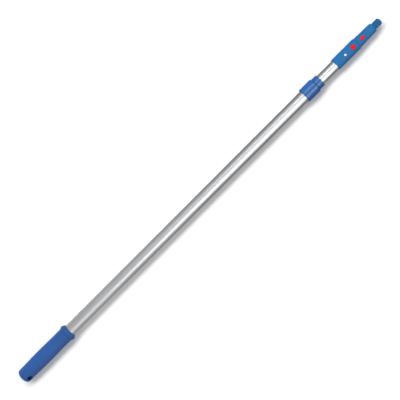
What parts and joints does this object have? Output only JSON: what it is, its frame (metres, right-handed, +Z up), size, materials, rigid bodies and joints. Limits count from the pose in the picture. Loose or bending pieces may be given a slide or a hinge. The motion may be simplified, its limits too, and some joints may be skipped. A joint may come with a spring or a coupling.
{
  "type": "telescopic extension pole",
  "caption": "Telescopic aluminium pole with a blue grip and hang hole, a twist-lock collar, and a tapered cone tip with release button, tool latch and coarse thread.",
  "frame": {"origin": "on the surface the pole lies on, under the middle of its stored length", "axes": "+X along the pole from the grip to the threaded tip, +Z up through the red buttons"},
  "size_m": [1.231, 0.043, 0.043],
  "materials": {
    "grip_blue": "satin moulded polypropylene",
    "collar_blue": "polished moulded nylon",
    "tip_blue": "satin moulded nylon",
    "tube_aluminium": "satin drawn and anodised",
    "rivet_aluminium": "bright",
    "button_red": "moulded acetal",
    "bush_white": "natural acetal",
    "carrier_black": "glass-filled nylon",
    "bumper_black": "matte",
    "wiper_felt": "pressed felt",
    "spring_steel": "bright drawn wire",
    "pin_steel": "ground"
  },
  "bodies": {
    "outer_stage": {"handle_grip": "grip_blue", "outer_tube": "tube_aluminium", "end_plug": "bush_white", "stop_bumper": "bumper_black", "mouth_bush": "bush_white", "clamp_ferrule": "carrier_black", "ferrule_pins": "pin_steel"},
    "clamp_collet": {"collet": "bush_white", "thrust_washer": "bush_white"},
    "lock_collar": {"lock_collar": "collar_blue", "wiper_ring": "wiper_felt"},
    "inner_stage": {"inner_tube": "tube_aluminium", "guide_bush": "bush_white", "stop_ring": "bush_white", "bush_pin": "pin_steel", "tip_sleeve": "tip_blue", "sleeve_rivet": "rivet_aluminium", "threaded_cone": "tip_blue", "spring_carrier": "carrier_black", "carrier_pin": "pin_steel", "button_spring": "spring_steel", "latch_spring": "spring_steel"},
    "release_button": {"release_button": "button_red"},
    "tool_latch": {"tool_latch": "button_red"}
  },
  "joints": [
    {"name": "telescope", "type": "slide", "parent": "outer_stage", "child": "inner_stage", "axis": [1, 0, 0], "range_m": [-0.05, 0.76895]},
    {"name": "collar_twist", "type": "hinge", "parent": "clamp_collet", "child": "lock_collar", "pos_m": [0.39453, 0, 0.0215], "axis": [1, 0, 0], "range_deg": [0, 120]},
    {"name": "collet_shift", "type": "slide", "parent": "outer_stage", "child": "clamp_collet", "axis": [1, 0, 0], "range_m": [0, 0.001]},
    {"name": "button_press", "type": "slide", "parent": "inner_stage", "child": "release_button", "axis": [0, 0, -1], "range_m": [0, 0.0044], "stiffness_N_per_m": 1500, "springref_m": -0.0027, "deforming": ["button_spring"]},
    {"name": "latch_press", "type": "slide", "parent": "inner_stage", "child": "tool_latch", "axis": [0, 0, -1], "range_m": [0, 0.00195], "stiffness_N_per_m": 800, "springref_m": -0.0025, "deforming": ["latch_spring"]}
  ],
  "couplings": [
    {"joint": "collet_shift", "follows": "collar_twist", "m_per_rad": 0.00047746}
  ]
}
